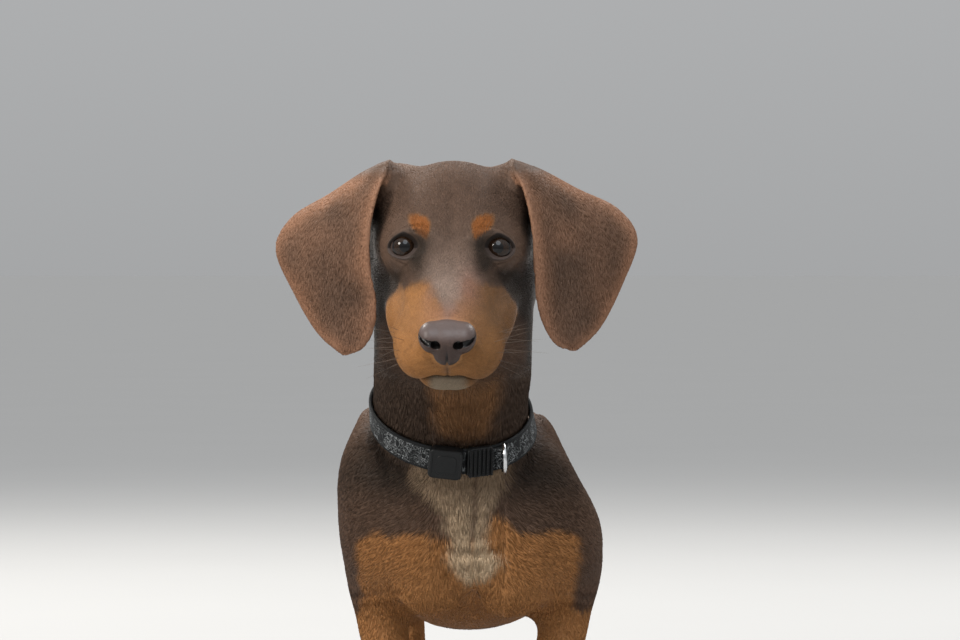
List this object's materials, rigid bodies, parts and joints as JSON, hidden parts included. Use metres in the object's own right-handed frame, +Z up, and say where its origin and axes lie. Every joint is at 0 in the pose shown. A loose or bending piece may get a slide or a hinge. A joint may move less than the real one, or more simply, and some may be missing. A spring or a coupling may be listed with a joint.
{
  "type": "dachshund puppy",
  "caption": "Life-size still model of a standing smooth-coated dachshund puppy, chocolate with tan points, head raised, wearing a dark webbing collar with a plastic buckle and a metal ring.",
  "frame": {"origin": "middle of the model's outline seen from above, on the floor it stands on", "axes": "+Z up; the dog faces -Y with its tail towards +Y; +X is the dog's left"},
  "size_m": [0.2026, 0.5954, 0.3377],
  "materials": {
    "coat": "short flat smooth hair, chocolate brown, slight gloss",
    "coat_tan": "short flat smooth hair, rust tan",
    "nose": "moist pebbled liver-brown nose leather",
    "eye": "glossy dark brown",
    "claw": "dark horn, semi-gloss",
    "collar_webbing": "black woven webbing with a mottled grey pattern",
    "collar_plastic": "black moulded plastic, satin",
    "collar_metal": "bright metal wire"
  },
  "bodies": {
    "root": {"nose": "nose", "eye_left": "eye", "eye_right": "eye", "head": "coat", "lower_jaw": "coat_tan", "neck": "coat", "trunk": "coat", "tail": "coat", "ear_left": "coat", "ear_right": "coat", "foreleg_left": "coat", "forepaw_left": "coat_tan", "thigh_left": "coat", "shank_left": "coat", "hindpaw_left": "coat_tan", "claw_forepaw_left_1": "claw", "claw_forepaw_left_2": "claw", "claw_forepaw_left_3": "claw", "claw_forepaw_left_4": "claw", "claw_hindpaw_left_1": "claw", "claw_hindpaw_left_2": "claw", "claw_hindpaw_left_3": "claw", "claw_hindpaw_left_4": "claw", "foreleg_right": "coat", "forepaw_right": "coat_tan", "thigh_right": "coat", "shank_right": "coat", "hindpaw_right": "coat_tan", "claw_forepaw_right_1": "claw", "claw_forepaw_right_2": "claw", "claw_forepaw_right_3": "claw", "claw_forepaw_right_4": "claw", "claw_hindpaw_right_1": "claw", "claw_hindpaw_right_2": "claw", "claw_hindpaw_right_3": "claw", "claw_hindpaw_right_4": "claw", "collar_buckle": "collar_plastic", "collar_slider": "collar_plastic", "collar_band": "collar_webbing", "collar_ring": "collar_metal", "collar_keeper": "collar_webbing"}
  },
  "joints": []
}
